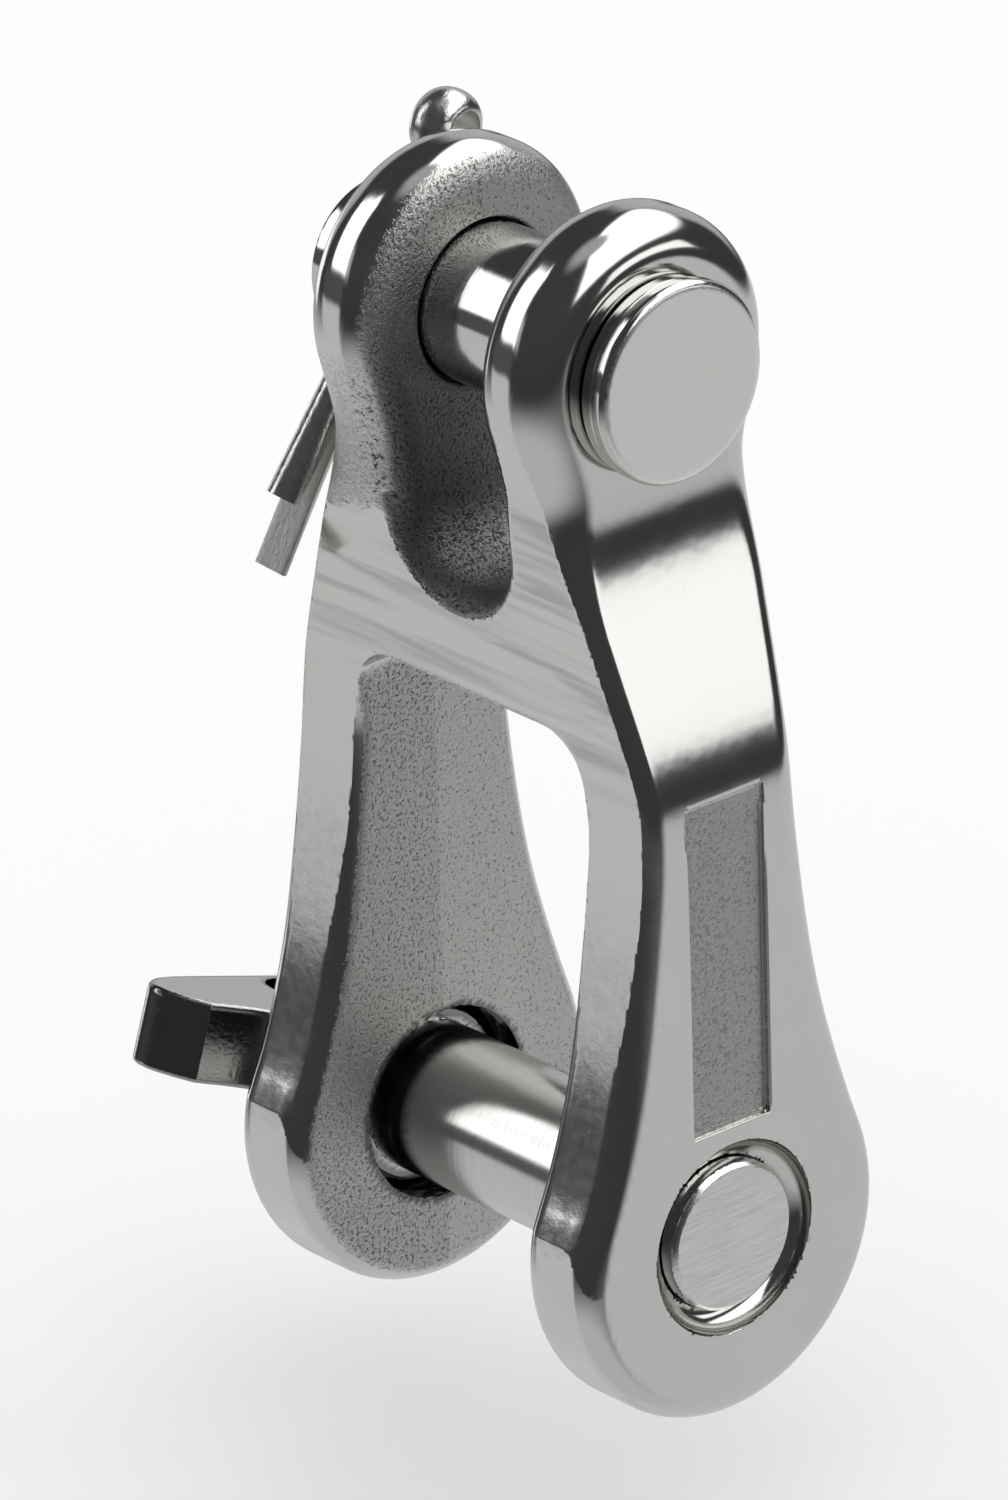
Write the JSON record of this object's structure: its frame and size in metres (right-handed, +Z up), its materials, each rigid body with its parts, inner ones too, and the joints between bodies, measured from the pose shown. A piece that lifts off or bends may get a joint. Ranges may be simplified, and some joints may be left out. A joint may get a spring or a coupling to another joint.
{
  "type": "rigging toggle",
  "caption": "Double-jaw rigging toggle in stainless steel: a cast fork with a narrow and a wide jaw, a clevis pin held by a split cotter pin, and a screw pin with a thumb tab.",
  "frame": {"origin": "middle of the lower jaw on the axis of its screw pin", "axes": "+X along both pins, towards the clevis pin's head and the screw pin's plain end; +Z up the toggle to the upper jaw; -Y is the front"},
  "size_m": [0.055, 0.0298, 0.0965],
  "materials": {
    "casting": "polished investment casting, as cast inside the jaws",
    "turned_pin": "turned and polished",
    "cotter_wire": "drawn half-round wire",
    "satin_pin": "satin turned shank, forged tab"
  },
  "bodies": {
    "toggle_body": {"toggle_body": "casting"},
    "clevis_pin": {"clevis_pin": "turned_pin"},
    "cotter_pin": {"cotter_pin": "cotter_wire"},
    "screw_pin": {"screw_pin": "satin_pin"}
  },
  "joints": [
    {"name": "clevis_pin_turn", "type": "hinge", "parent": "toggle_body", "child": "clevis_pin", "pos_m": [0, 0, 0.069], "axis": [1, 0, 0], "range_deg": [-290, 0]},
    {"name": "cotter_play", "type": "slide", "parent": "clevis_pin", "child": "cotter_pin", "axis": [0, 0.515, 0.8572], "range_m": [0, 0.001]},
    {"name": "screw_pin_withdraw", "type": "slide", "parent": "toggle_body", "child": "screw_pin", "axis": [-1, 0, 0], "range_m": [0, 0.042]}
  ]
}
